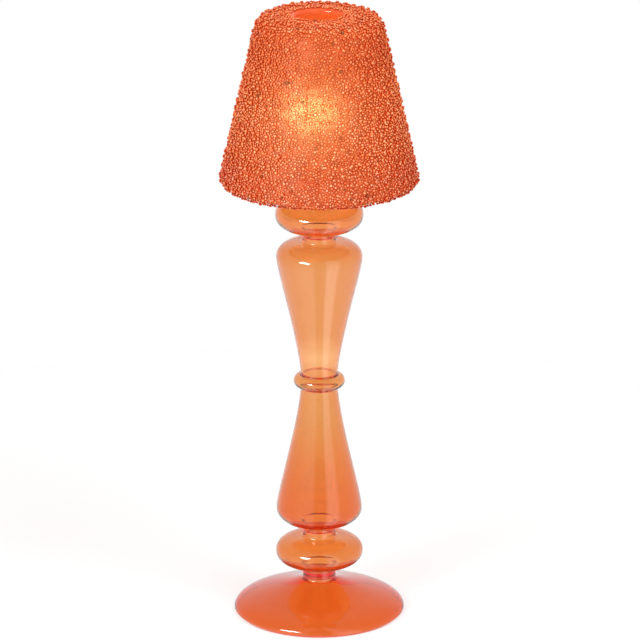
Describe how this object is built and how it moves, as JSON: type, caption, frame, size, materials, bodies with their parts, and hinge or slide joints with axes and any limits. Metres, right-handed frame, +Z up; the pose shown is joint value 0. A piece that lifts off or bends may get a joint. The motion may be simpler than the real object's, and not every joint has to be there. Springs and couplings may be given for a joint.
{
  "type": "tea light holder",
  "caption": "Tall blown-glass candlestick with knops, cones and a domed foot, holding a tea light in a dish under a lift-off conical shade coated in glass beads.",
  "frame": {"origin": "centre of the ring that the foot stands on, at the table", "axes": "+Z up along the axis of the candlestick; the part is round about +Z"},
  "size_m": [0.1091, 0.1089, 0.3415],
  "materials": {
    "orange_glass": "clear orange blown glass, smooth and glossy",
    "shade_glass": "clear orange blown glass under the bead coat",
    "bead_bed": "bed of fine orange-red glass beads in clear glue",
    "glass_beads": "small round glass beads, orange to salmon, glossy",
    "cup_aluminium": "thin pressed aluminium, bright",
    "wax": "white candle wax, smooth, slightly translucent",
    "wick": "braided cotton wick, waxed, blackened at its tip",
    "tab_steel": "thin tinned steel"
  },
  "bodies": {
    "candlestick": {"foot": "orange_glass", "lower_knop": "orange_glass", "lower_cone": "orange_glass", "centre_ring": "orange_glass", "upper_cone": "orange_glass", "upper_knop": "orange_glass", "candle_dish": "orange_glass"},
    "shade": {"shade_glass": "shade_glass", "bead_bed": "bead_bed", "beads_lower": "glass_beads", "beads_middle": "glass_beads", "beads_upper": "glass_beads", "beads_shoulder": "glass_beads"},
    "tea_light": {"candle_cup": "cup_aluminium", "wax": "wax", "wick": "wick", "wick_tab": "tab_steel"}
  },
  "joints": [
    {"name": "shade_lift", "type": "slide", "parent": "candlestick", "child": "shade", "axis": [0, 0, 1], "range_m": [0, 0.1]},
    {"name": "tea_light_lift", "type": "slide", "parent": "candlestick", "child": "tea_light", "axis": [0, 0, 1], "range_m": [0, 0.03]}
  ]
}
